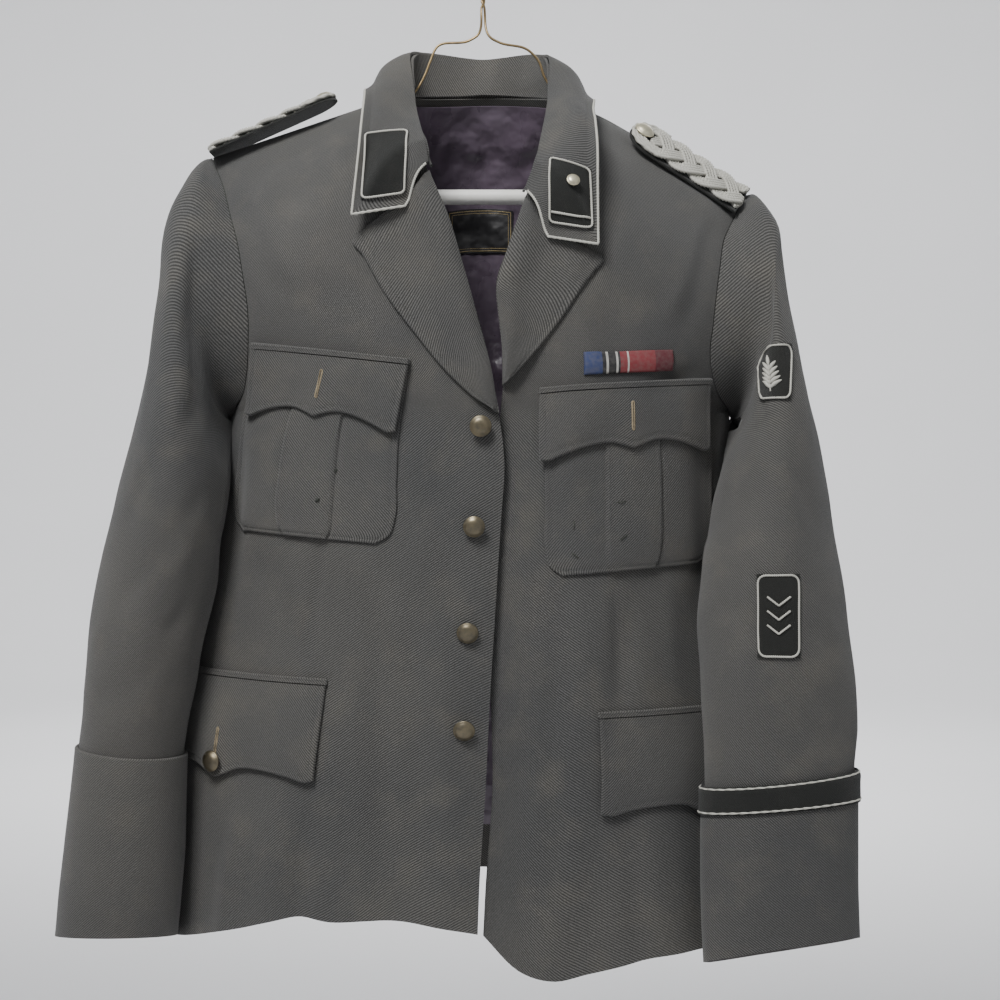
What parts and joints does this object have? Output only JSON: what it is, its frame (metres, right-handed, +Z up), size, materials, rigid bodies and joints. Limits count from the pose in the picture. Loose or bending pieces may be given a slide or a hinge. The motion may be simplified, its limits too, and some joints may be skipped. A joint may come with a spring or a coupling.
{
  "type": "military officer tunic on a wire hanger",
  "caption": "Grey wool officer's tunic, open down the front, with notched lapels, patch and flap pockets, deep cuffs and plaited shoulder boards, on a wire and tube hanger.",
  "frame": {"origin": "inside top of the hanger hook, where a rail carries it", "axes": "+Z up, the tunic's front faces -Y, and +X is the wearer's left, which is on the right of someone who faces the front"},
  "size_m": [0.6541, 0.2567, 0.8971],
  "materials": {
    "cloth": "mid grey woollen twill",
    "cloth_dark": "dark woollen cloth",
    "lining": "dark aubergine satin lining",
    "label": "black woven label, bare",
    "brass": "aged brass, domed",
    "silver_cord": "dull silver-grey twisted cord on a dark underlay",
    "ribbon": "ribbed striped ribbon",
    "wire": "brass-coloured steel wire",
    "tube": "white card tube"
  },
  "bodies": {
    "root": {"back": "cloth", "back_lining": "lining", "collar_fall": "cloth", "collar_stand": "cloth", "cuff_band": "cloth_dark", "front_button_1": "brass", "front_button_2": "brass", "front_button_3": "brass", "front_button_4": "brass", "hanger_arm_wire": "wire", "hanger_hook_wire": "wire", "hanger_tube": "tube", "left_board": "silver_cord", "left_board_button": "brass", "left_breast_bag": "cloth", "left_breast_flap": "cloth", "left_breast_welt": "cloth", "left_collar_patch": "cloth_dark", "left_cuff": "cloth", "left_front": "cloth", "left_lapel": "cloth", "left_lower_button": "brass", "left_lower_flap": "cloth", "left_lower_welt": "cloth", "left_sleeve": "cloth", "lower_sleeve_badge": "cloth_dark", "neck_label": "label", "ribbon_bar": "ribbon", "right_board": "silver_cord", "right_board_button": "brass", "right_breast_bag": "cloth", "right_breast_flap": "cloth", "right_breast_welt": "cloth", "right_collar_patch": "cloth_dark", "right_cuff": "cloth", "right_front": "cloth", "right_lapel": "cloth", "right_lower_button": "brass", "right_lower_flap": "cloth", "right_lower_welt": "cloth", "right_sleeve": "cloth", "upper_sleeve_badge": "cloth_dark"}
  },
  "joints": []
}
